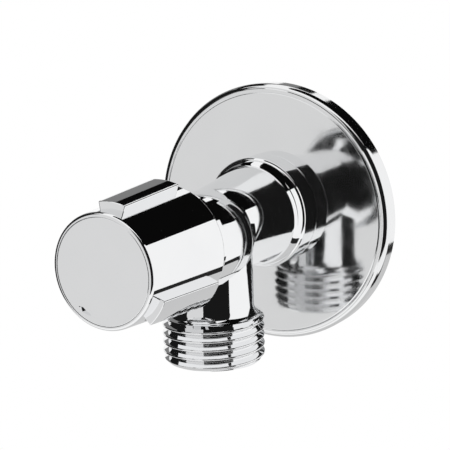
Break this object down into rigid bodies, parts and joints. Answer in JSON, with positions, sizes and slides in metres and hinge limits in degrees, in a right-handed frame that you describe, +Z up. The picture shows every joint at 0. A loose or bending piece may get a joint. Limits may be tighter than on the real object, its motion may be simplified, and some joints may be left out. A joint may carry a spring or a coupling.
{
  "type": "angle valve",
  "caption": "Wall-mounted chrome angle valve with a ribbed turning knob, a round wall rosette and male threads at the inlet behind and the outlet below.",
  "frame": {"origin": "on the valve axis, in the plane of the wall", "axes": "+Y along the inlet into the wall, +Z up, the outlet points along -Z and the knob along -Y"},
  "size_m": [0.056, 0.0803, 0.056],
  "materials": {
    "body_chrome": "polished",
    "knob_chrome": "polished",
    "cap_chrome": "polished",
    "rosette_chrome": "fine brushed under the plating",
    "brass": "machined",
    "steel": "plain",
    "seal_rubber": "matt",
    "white_plastic": "smooth"
  },
  "bodies": {
    "valve": {"valve_body": "body_chrome", "rosette": "rosette_chrome", "bonnet": "brass", "bonnet_seal": "seal_rubber", "thrust_washer": "white_plastic"},
    "handle": {"knob": "knob_chrome", "knob_bush": "brass", "front_cap": "cap_chrome", "handle_screw": "steel", "lock_washer": "steel", "spindle": "brass", "spindle_o_ring_inner": "seal_rubber", "spindle_o_ring_outer": "seal_rubber", "retaining_ring": "steel"},
    "slide": {"valve_slide": "brass", "slide_o_ring": "seal_rubber", "seat_washer": "seal_rubber", "washer_screw": "steel"}
  },
  "joints": [
    {"name": "handle_turn", "type": "hinge", "parent": "valve", "child": "handle", "pos_m": [0, -0.05, 0], "axis": [0, -1, 0], "range_deg": [0, 720]},
    {"name": "slide_lift", "type": "slide", "parent": "valve", "child": "slide", "axis": [0, -1, 0], "range_m": [0, 0.004]}
  ],
  "couplings": [
    {"joint": "slide_lift", "follows": "handle_turn", "m_per_rad": 0.0003183}
  ]
}
